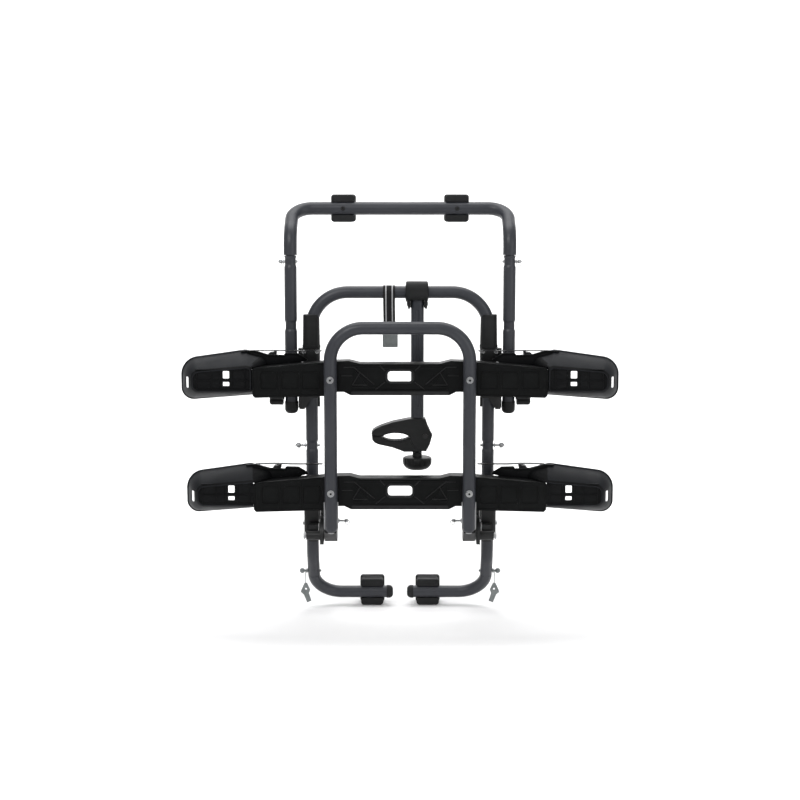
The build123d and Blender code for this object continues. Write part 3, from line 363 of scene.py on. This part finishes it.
def join(piece, shape, mirrored=False):
    """Add a bmesh in millimetres to a piece's mesh."""
    to_metres(shape, mirrored)
    shape.from_mesh(piece.data)
    shape.to_mesh(piece.data)
    shape.free()


def dress(piece, slot, body, replaced=(), bevel=0.0):
    """Give a piece its finish and rounded edges, and make it ride on its body."""
    if bevel:
        edge = piece.modifiers.new("rounded edges", "BEVEL")
        edge.width = bevel * MM
        edge.segments = 2
        edge.limit_method = "ANGLE"
        edge.angle_limit = math.radians(35)
        settle(piece)
    piece.data.materials.clear()
    piece.data.materials.append(FINISHES[slot])
    piece.data.shade_smooth()
    piece.data.set_sharp_from_angle(angle=math.radians(SMOOTH_UNDER))
    if replaced:
        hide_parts(*replaced)
    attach(piece, body)


def millimetres(node):
    """A CAD node's lowest and highest corners at rest, in millimetres."""
    low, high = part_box(node)
    return Vector(low) / MM, Vector(high) / MM


def tray_middle(tray):
    """The height of a tray's middle line."""
    beam_low, _ = millimetres(f"{tray}_tray_beam")
    return beam_low.z + BEAM_DROP


# ---------------------------------------------------------------- wheel scoops
# Outlines as bands round circles: distance from the outer end, height above the tray's middle, radius.
SCOOP_RIM = ((50, 6, 50), (33, -29, 33), (175, 43, 31), (218, 39, 24), (190, -44, 6))
SCOOP_FLOOR = ((55, 2, 19), (55, -14, 19), (184, 21, 11), (188, -26, 7))
# From the rim to the floor: share of the way to the floor's outline, share of the depth, growth.
SCOOP_LEVELS = (
    (0.0, 0.0, -1.0), (0.0, 0.012, 0.0), (0.0, 0.055, 0.0), (0.012, 0.07, -0.8), (0.03, 0.08, -2.6),
    (0.07, 0.13, -2.4), (0.28, 0.36, 0.6), (0.52, 0.60, 1.8), (0.76, 0.81, 1.9), (0.92, 0.94, 1.2),
    (0.985, 0.985, 0.6), (1.0, 1.0, 0.0), (1.0, 1.0, -2.6), (1.0, 0.975, -3.4), (1.0, 0.95, -3.6),
)
SCOOP_SKIN = 2.6
# Slots through the floor: distance from the outer end, height above the middle, width, height.
SCOOP_SLOTS = ((128, 12, 17, 20), (128, -13, 17, 11), (22, -10, 7, 30))


def band_point(circles, turn, grow):
    """The point of a band round circles where its outward normal points this way."""
    across, up = math.cos(turn), math.sin(turn)
    x, z, radius = max(circles, key=lambda c: c[0] * across + c[1] * up + c[2])
    return Vector((x + (radius + grow) * across, z + (radius + grow) * up))


def scoop_shell(low, mid, rim_y, floor_y):
    """The cup's outer skin: a lip, bulging walls and a recessed floor."""
    steps = 120
    shape = bmesh.new()
    rows = []
    for share, depth, grow in SCOOP_LEVELS:
        row = []
        for i in range(steps):
            turn = 2 * math.pi * i / steps
            point = band_point(SCOOP_RIM, turn, grow).lerp(band_point(SCOOP_FLOOR, turn, grow), share)
            row.append((low + point.x, rim_y + (floor_y - rim_y) * depth, mid + point.y))
        rows.append(row)
    ring_rows(shape, rows, capped=False)
    shape.verts.ensure_lookup_table()
    shape.faces.new(shape.verts[-steps:])
    return shape


def scoop_cup(name, low, mid, cup_end, rim_y, floor_y, mirrored):
    """The hollow cup, cut off at the wing's edge and pierced by its slots."""
    cup = raw_piece(name, scoop_shell(low, mid, rim_y, floor_y), mirrored)
    if max(cup.data.polygons, key=lambda face: face.area).normal.y > 0:
        cup.data.flip_normals()
    wall = cup.modifiers.new("wall", "SOLIDIFY")
    wall.thickness = SCOOP_SKIN * MM
    wall.offset = -1.0
    wall.use_even_offset = True
    settle(cup)

    # the cup ends where the wing starts, but its shoulder runs on above the wing's sloping edge
    past_wing = cup_end + 80
    wing_edge = [
        (cup_end, mid - 90), (cup_end, mid + 31.5), (past_wing, mid + 38.5), (past_wing, mid - 90),
    ]
    beyond = bmesh.new()
    prism(beyond, wing_edge, "Y", floor_y - 20, rim_y + 20)
    cut(cup, beyond, mirrored)

    slots = bmesh.new()
    for x, z, width, height in SCOOP_SLOTS:
        outline = [(low + x + a, mid + z + b) for a, b in rounded_loop(width, height, 2.2, 3)]
        prism(slots, outline, "Y", floor_y - 20, floor_y + 40)
    cut(cup, slots, mirrored)
    return cup


def add_scoop_ribs(shape, low, mid, cup_end, rim_y, floor_y):
    """Ribs on the cup's underside, and low ones inside it under the tyre."""
    floor_face = floor_y + 0.05 * (rim_y - floor_y)
    half = 0.9
    for z in (26, -3, -27):
        slab(shape, (low + 46, floor_y + 0.6, mid + z - half), (cup_end, floor_face + 0.5, mid + z + half))
    for x in (48, 88, 112, 144, 178):
        slab(shape, (low + x - half, floor_y + 0.9, mid - 26), (low + x + half, floor_face + 0.5, mid + 25))
    inside = floor_face + SCOOP_SKIN
    for x in (70, 95, 160):
        slab(shape, (low + x - 1.2, inside - 0.5, mid - 27), (low + x + 1.2, inside + 3.5, mid + 19))


def add_scoop_fin(shape, low, mid, cup_end):
    """The fin behind the wing, with a rolled top edge."""
    start = low + 150
    top = [
        (start + 15, 72), (cup_end + 4, 73), (cup_end + 38, 62), (cup_end + 82, 60),
        (cup_end + 87, 66), (cup_end + 120, 65), (cup_end + 146, 49),
    ]
    foot = [(cup_end + 146, 45), (cup_end + 60, 20), (start, 20)]
    prism(shape, [(x, mid + z) for x, z in top + foot], "Y", -78.0, -75.6)
    roll = 3.2
    edge = [(x, mid + z) for x, z in top] + [(x, mid + z - roll) for x, z in reversed(top)]
    prism(shape, edge, "Y", -83.0, -73.0)


def add_scoop_tongue(shape, mid, start, end):
    """The tongue that slides in the wing: a channel open towards the tyre."""
    y0, y1 = -129.0, -103.0
    z0, z1 = mid - 30, mid + 22
    wall = 3
    channel = [
        (y0, z0), (y1, z0), (y1, z0 + wall), (y0 + wall, z0 + wall),
        (y0 + wall, z1 - wall), (y1, z1 - wall), (y1, z1), (y0, z1),
    ]
    prism(shape, channel, "X", start, end)


def paint_scoop_floor_shade(piece, floor_y, cup_end):
    """Give the faces inside and under the cup, and those past it, the deeper black of painted shade."""
    piece.data.materials.append(SCOOP_PAINTED_SHADE_LOOK)
    for face in piece.data.polygons:
        on_floor = (floor_y + 0.3) * MM <= face.center.y < (floor_y + 4.2) * MM
        faces_car = face.center.y > (floor_y + 4) * MM and face.normal.y > 0.5
        beyond_cup = abs(face.center.x) < -cup_end * MM
        if on_floor or faces_car or beyond_cup:
            face.material_index = 1


def build_scoop(side, tray):
    """One wheel scoop: the cup, its ribs, the fin behind the wing and the sliding tongue."""
    node = f"{side}_{tray}_scoop"
    mirrored = side == "right"
    box_low, box_high = millimetres(f"left_{tray}_scoop")
    wing_low, _ = millimetres(f"{tray}_tray_wings")
    mid = tray_middle(tray)
    low = box_low.x
    cup_end = wing_low.x - 1
    floor_y, rim_y = box_low.y, -66.0

    piece = scoop_cup(node + "_shell", low, mid, cup_end, rim_y, floor_y, mirrored)
    extra = bmesh.new()
    add_scoop_ribs(extra, low, mid, cup_end, rim_y, floor_y)
    add_scoop_fin(extra, low, mid, cup_end)
    add_scoop_tongue(extra, mid, cup_end - 8, box_high.x)
    join(piece, extra, mirrored)
    dress(piece, "scoop_plastic", node, [node], bevel=0.5)
    # the floor and the faces past the cup get painted shade
    paint_scoop_floor_shade(piece, floor_y, cup_end)


def build_wheel_strap(side, tray):
    """A ribbed ratchet strap that rises a little over the fin, with a levered buckle."""
    node = f"{side}_{tray}_wheel_strap"
    low, high = millimetres(f"left_{tray}_wheel_strap")
    base = high.z - 5.4
    start, end = low.x, high.x
    hump_half, hump_rise = 50, 1.5
    pitch = 3.0
    # how far along each tooth its profile changes, and the height there
    tooth = ((0.0, 1.5), (0.55, 1.5), (0.6, 2.4), (0.95, 2.4))
    top, bottom = [], []
    for i in range(int((end - start) / pitch) + 1):
        x = start + i * pitch
        arch = max(0.0, 1 - ((x - start - hump_half) / hump_half) ** 2) * hump_rise
        for step, rise in tooth:
            if x + step * pitch <= end:
                top.append((x + step * pitch, base + arch + rise))
        bottom.append((x, base + arch))
    shape = bmesh.new()
    prism(shape, bottom + top[::-1], "Y", low.y + 3.0, high.y - 3.0)
    buckle = start + 60
    cheek = [(-9, -10), (11, -10), (12, 1), (8, 3), (4, -1.5), (-6, -3), (-12, -7)]
    cheek_thick = 3.2
    for y in (low.y, high.y - cheek_thick):
        prism(shape, [(buckle + x, base + z) for x, z in cheek], "Y", y, y + cheek_thick)
    lever = [(-11, -7.5), (10, -7.5), (11, -2.2), (4, -2.2), (-7, -4)]
    prism(shape, [(buckle + x, base + z) for x, z in lever], "Y", low.y + 2, high.y - 2)
    piece = raw_piece(node + "_ribbed", shape, side == "right")
    dress(piece, "strap_plastic", f"{side}_{tray}_scoop", [node], bevel=0.25)


# ---------------------------------------------------------------- tray ribs
def bar(shape, start, end, width, front, back, draft=0.6):
    """A straight rib in an XZ plane between two points, narrower at its front than at its back."""
    a, b = Vector(start), Vector(end)
    across = (b - a).normalized()
    across = Vector((-across.y, across.x)) * (width / 2)
    loops = []
    for y, share in ((back, 1.0), (front, draft)):
        corners = (a + across * share, b + across * share, b - across * share, a - across * share)
        loops.append([shape.verts.new((c.x, y, c.y)) for c in corners])
    skin(shape, *loops)
    for loop in loops:
        shape.faces.new(loop)


def frame_rib(shape, centre, size, width, front, back):
    """A rib round a rounded rectangle in an XZ plane."""
    wide, tall, corner = size
    rows = []
    for grow, y in ((0.0, back), (0.4, front), (width - 0.4, front), (width, back)):
        loop = rounded_loop(wide + 2 * grow, tall + 2 * grow, corner + grow)
        rows.append([shape.verts.new((centre[0] + a, y, centre[1] + b)) for a, b in loop])
    for first, second in zip(rows, rows[1:] + rows[:1]):
        skin(shape, first, second)


def build_beam_ribs(tray):
    """Ribs moulded on a beam: the slot's frame, slanting braces, its flanges, and cross ribs behind."""
    low, _ = millimetres(f"{tray}_tray_beam")
    mid = tray_middle(tray)
    face, front = low.y + 0.3, low.y - 1.5
    shape = bmesh.new()
    frame_rib(shape, (0, mid + 8), (67, 29, 9.5), 5, front, face)
    braces = (
        ((69, -13), (124, 33)), ((124, 33), (152, 33)), ((88, -15), (128, -15)), ((128, -15), (108, 18)),
        ((128, 10), (158, 10)), ((40, 23), (54, 37)), ((40, -7), (66, -27)),
    )
    for _, sign in SIDES:
        for start, end in braces:
            bar(shape, (sign * start[0], mid + start[1]), (sign * end[0], mid + end[1]), 3.0, front, face)
    # the lower flange: a strip that leans back at its top and catches the light
    flange = [(low.y + 0.3, mid - 42.6), (front - 0.6, mid - 42.0), (low.y + 0.3, mid - 31.5)]
    prism(shape, flange, "X", -131, 131)
    top_lip = [(low.y + 0.3, mid + 42.6), (front, mid + 42.2), (low.y + 0.3, mid + 39.0)]
    prism(shape, top_lip, "X", -107, 107)
    half = 1.3
    for x in (-165, -130, -95, -55, 55, 95, 130, 165):
        slab(shape, (x - half, low.y + 5.8, mid - 29.5), (x + half, low.y + 14.0, mid + 31.5))
    dress(raw_piece(f"{tray}_beam_ribs", shape), "black_plastic", "platform", bevel=0.35)


def build_wing_ribs(side, tray):
    """Raised borders on a wing's underside, and its rolled upper edge."""
    low, _ = millimetres(f"{tray}_tray_wings")
    beam_low, _ = millimetres(f"{tray}_tray_beam")
    mid = tray_middle(tray)
    face, front = low.y + 0.3, low.y - 1.1
    outer, inner = low.x, beam_low.x
    shape = bmesh.new()
    for x in (-352, -296, -240):
        frame_rib(shape, (x, mid - 3), (43, 45, 2.6), 2.4, front, face)
    bar(shape, (outer + 4, mid + 27.5), (inner - 3, mid + 43.0), 3.0, front, face)
    bar(shape, (outer + 6, mid - 46.5), (inner - 3, mid - 41.0), 3.0, front, face)
    bar(shape, (outer + 3, mid + 26), (outer + 3, mid - 44), 3.0, front, face)
    for x in (-324, -268):
        bar(shape, (x, mid + 30), (x, mid - 42), 2.0, front + 0.3, face)
    piece = raw_piece(f"{side}_{tray}_wing_ribs", shape, side == "right")
    dress(piece, "tray_plastic", "platform", bevel=0.3)


def build_bolt_socket_painted_shade():
    """Painted shade for the tray bolts' socket wells: black hexagons set just proud of the bolts' heads."""
    low, _ = millimetres("tray_bolts")
    _, frame_high = millimetres("platform_frame")
    leg_x = frame_high.x - PLATFORM_TUBE_R
    well_r, well_deep = 3.3, 2.9
    hexagon = [(well_r * math.cos(math.pi * i / 3), well_r * math.sin(math.pi * i / 3)) for i in range(6)]
    shape = bmesh.new()
    for tray, rise in (("upper", 2), ("lower", 7)):
        bolt_z = tray_middle(tray) + rise
        for x in (-leg_x, leg_x):
            prism(shape, [(x + a, bolt_z + b) for a, b in hexagon], "Y", low.y - 0.05, low.y + well_deep)
    dress(raw_piece("bolt_socket_painted_shade", shape), "black_steel", "platform")


# ---------------------------------------------------------------- tailgate strap
def webbing_path(bottom, mast_z, loop_r):
    """The loop's course in a YZ plane: up in front of the mast, over it, and down behind."""
    drop, arch = 26, 18
    half_gap = 1.4

    def layer(side, order, sway_by, waves, phase):
        points = []
        for i in order:
            share = i / drop
            sway = sway_by * math.sin(waves * math.pi * share + phase) * (1 - share)
            y = side * (half_gap + (loop_r - half_gap) * share ** 0.8) + sway
            points.append((y, bottom + (mast_z - bottom) * share))
        return points

    over = [
        (-loop_r * math.cos(math.pi * i / arch), mast_z + loop_r * math.sin(math.pi * i / arch))
        for i in range(arch + 1)
    ]
    front = layer(-1, range(drop), 1.1, 3.2, 0.0)
    back = layer(1, reversed(range(drop)), 0.9, 2.6, 0.6)
    return front + over + back


def build_webbing():
    """The tie-down loop: two woven layers over the mast, slack and a little wavy below it."""
    low, high = millimetres("tie_strap")
    mast_z = millimetres("mast")[1].z - TUBE_R
    middle, width = (low.x + high.x) / 2, high.x - low.x
    path = webbing_path(low.z + 1.5, mast_z, TUBE_R + 1.2)
    columns = 22
    shape = bmesh.new()
    rows, places = [], []
    travelled = 0.0
    for index, (y, z) in enumerate(path):
        if index:
            travelled += math.dist((y, z), path[index - 1])
        slack = min(1.0, max(0.0, (mast_z - 18 - z) / 90))
        row = []
        for column in range(columns + 1):
            across = column / columns - 0.5
            cup = 1.2 * slack * math.sin(2 * math.pi * across + z / 23)
            lean = 0.9 * slack * math.sin(z / 31)
            row.append(shape.verts.new((middle + across * width * (1 - 0.02 * slack) + lean, y + cup, z)))
            places.append((across * width * MM, travelled * MM))
        rows.append(row)
    for first, second in zip(rows, rows[1:]):
        skin(shape, first, second, closed=False)
    piece = raw_piece("tie_webbing", shape)
    for name, column in (("across", 0), ("along", 1)):
        layer = piece.data.attributes.new(name, "FLOAT", "POINT")
        layer.data.foreach_set("value", [place[column] for place in places])
    thick = piece.modifiers.new("webbing", "SOLIDIFY")
    thick.thickness = 1.5 * MM
    thick.offset = 0.0
    settle(piece)
    dress(piece, "webbing", "mast", ["tie_strap"])


# ---------------------------------------------------------------- car pads
PAD_REACH = 54.5            # from the tube's centre to the face on the car
# From the front lips to the car's face: distance past the tube's centre, share of width, of height.
PAD_LEVELS = (
    (-10.0, 0.84, 0.95), (-8.5, 0.88, 0.975), (-5.0, 0.92, 0.985), (4.0, 0.90, 0.97), (20.0, 0.90, 0.95),
    (31.0, 0.91, 0.955), (33.0, 0.985, 0.99), (34.5, 1.0, 1.0), (49.0, 1.0, 1.0), (51.5, 0.985, 0.985),
    (52.5, 0.94, 0.945),
)


def tube_hook(tube_y, z, radius):
    """The outline of a bore round a tube, open towards the front."""
    steps = 48
    hook = []
    for i in range(steps + 1):
        turn = -0.5 * math.pi + math.pi * i / steps
        hook.append((tube_y + radius * math.cos(turn), z + radius * math.sin(turn)))
    return hook + [(tube_y - 40, z + radius), (tube_y - 40, z - radius)]


def build_pad(node, body, tube_r):
    """A moulded rubber pad: cheeks round the tube, a flange and a ribbed face for the car."""
    low, high = millimetres(node)
    x, z = (low.x + high.x) / 2, (low.z + high.z) / 2
    width, height = high.x - low.x, high.z - low.z
    tube_y = high.y - PAD_REACH
    shape = bmesh.new()
    rows = []
    for y, wide, tall in PAD_LEVELS:
        loop = rounded_loop(width * wide, height * tall, 8.0)
        rows.append([(x + a, tube_y + y, z + b) for a, b in loop])
    ring_rows(shape, rows)
    piece = raw_piece(node + "_moulded", shape)
    bore = bmesh.new()
    prism(bore, tube_hook(tube_y, z, tube_r), "X", low.x - 10, high.x + 10)
    cut(piece, bore)

    extra = bmesh.new()
    grips = 7
    root, crest = tube_y + 52.2, tube_y + 54.3
    for i in range(grips):
        at = z + (i - (grips - 1) / 2) * height * 0.118
        ridge = [(root, at - 2.8), (crest, at - 1.7), (crest, at + 1.7), (root, at + 2.8)]
        prism(extra, ridge, "X", low.x + 6, high.x - 6)
    # three ribs above and three below the cheeks
    rib_y = tube_y + 13
    reach = height * 0.478 + 0.6
    for ends in ((-reach, -reach * 0.96), (reach * 0.96, reach)):
        for step in (-8, 0, 8):
            slab(extra, (x - 24, rib_y + step - 1, z + ends[0]), (x + 24, rib_y + step + 1, z + ends[1]))
    join(piece, extra)
    dress(piece, "pad_rubber", body, [node], bevel=0.6)


# ---------------------------------------------------------------- small metal
def build_pull_rings():
    """A wire pull ring through the ball head of each lock pin but the foot pins."""
    for side, sign in SIDES:
        for name, outward in (("hoop_pin", sign), ("mast_pin", sign), ("platform_pin", -sign)):
            node = f"{side}_{name}"
            low, high = millimetres(node)
            ball_r = (high.z - low.z) / 2
            end = low.x if outward < 0 else high.x
            ball = Vector((end - outward * ball_r, (low.y + high.y) / 2, (low.z + high.z) / 2))
            shape = bmesh.new()
            wire_ring(shape, ball + Vector((outward * 3.5, 0, -4.5)), 6.5, 0.9)
            dress(raw_piece(node + "_ring", shape), "zinc", node)


def build_welds():
    """Rippled weld beads where the brackets are welded round the uprights."""
    shape = bmesh.new()
    upright_low, _ = millimetres("left_upright")
    tube_x = upright_low.x + TUBE_R
    _, hinge_top = millimetres("hoop_hinges")
    bracket_low, bracket_top = millimetres("platform_brackets")
    for z in (hinge_top.z, bracket_low.z + 1.8, bracket_top.z):
        for _, sign in SIDES:
            wire_ring(shape, (sign * tube_x, 0, z), TUBE_R + 0.4, 1.5, "Z", ripple=0.28, turns=60)
    dress(raw_piece("weld_beads", shape), "black_steel", "root")


def build_pieces():
    for side, _ in SIDES:
        for tray in TRAYS:
            build_scoop(side, tray)
            build_wheel_strap(side, tray)
            build_wing_ribs(side, tray)
        build_pad(f"{side}_hoop_pad", "hoop_upper", tube_r=18.45)
        build_pad(f"{side}_foot_pad", f"{side}_foot_pad", tube_r=17.4)
    for tray in TRAYS:
        build_beam_ribs(tray)
    build_bolt_socket_painted_shade()
    build_webbing()
    build_pull_rings()
    build_welds()


# ---------------------------------------------------------------- stage
def build_stage():
    """A pale floor that curves up into a backdrop."""
    steps = 24
    near, far, radius, half_width = -45.0, 4.0, 3.0, 30.0
    profile = [(near, 0.0), (far, 0.0)]
    for i in range(1, steps + 1):
        turn = 0.5 * math.pi * i / steps
        profile.append((far + radius * math.sin(turn), radius * (1 - math.cos(turn))))
    profile.append((far + radius, 9.0))
    shape = bmesh.new()
    rows = [[shape.verts.new((x, y, z)) for x in (-half_width, half_width)] for y, z in profile]
    for low, high in zip(rows, rows[1:]):
        shape.faces.new((low[0], low[1], high[1], high[0]))
    mesh = bpy.data.meshes.new("floor")
    shape.to_mesh(mesh)
    shape.free()
    mesh.shade_smooth()
    f = Finish("floor_look", specular=0.2)
    tone = f.mix(f.ramp(f.noise(1.5, 3.0), (0.3, 0.0), (0.7, 1.0)), (0.84, 0.84, 0.845), (0.86, 0.86, 0.86))
    matt = f.ramp(f.noise(6.0), (0.3, 0.78), (0.7, 0.88))
    mesh.materials.append(f.finish(tone, matt, f.bump(f.noise(40.0), 0.0005, 0.1)))
    floor = bpy.data.objects.new("floor", mesh)
    bpy.context.scene.collection.objects.link(floor)


def add_light(name, place, target, size, power, tint=(1.0, 1.0, 1.0)):
    light = bpy.data.lights.new(name, "AREA")
    light.shape = "RECTANGLE"
    light.size, light.size_y = size
    light.energy = power
    light.color = tint
    lamp = bpy.data.objects.new(name, light)
    bpy.context.scene.collection.objects.link(lamp)
    lamp.location = place
    lamp.rotation_euler = (Vector(target) - Vector(place)).to_track_quat("-Z", "Y").to_euler()


def build_lights():
    middle = (0.0, 0.0, 0.6)
    add_light("key", (-1.6, -3.2, 3.4), middle, (2.4, 1.6), 85.0)
    add_light("fill", (2.8, -3.0, 1.6), middle, (2.0, 2.4), 35.0)
    add_light("top", (0.0, 0.4, 3.6), middle, (3.0, 1.6), 60.0)
    add_light("back", (0.0, 3.4, 2.6), middle, (3.5, 1.6), 35.0)
    add_light("backdrop", (0.0, 2.0, 5.0), (0.0, 7.0, 2.0), (8.0, 2.0), 520.0)
    world = bpy.data.worlds.new("studio")
    world.use_nodes = True
    world.node_tree.nodes["Background"].inputs["Color"].default_value = (1.0, 1.0, 1.0, 1.0)
    world.node_tree.nodes["Background"].inputs["Strength"].default_value = 0.45
    bpy.context.scene.world = world


def build_camera():
    """The product photograph's view: straight on, from a little above."""
    distance = 4.5
    elevation = math.radians(8.0)
    target = Vector((0.0, 0.0, 0.6086))
    data = bpy.data.cameras.new("camera")
    data.lens = 73.0
    data.sensor_width = 36.0
    camera = bpy.data.objects.new("camera", data)
    bpy.context.scene.collection.objects.link(camera)
    back, up = distance * math.cos(elevation), distance * math.sin(elevation)
    camera.location = target + Vector((0.0, -back, up))
    camera.rotation_euler = (target - camera.location).to_track_quat("-Z", "Y").to_euler()
    bpy.context.scene.camera = camera


# ---------------------------------------------------------------- the scene
dress_cad_nodes()
build_pieces()
build_stage()
build_lights()
build_camera()
bpy.context.scene.view_settings.view_transform = "Standard"
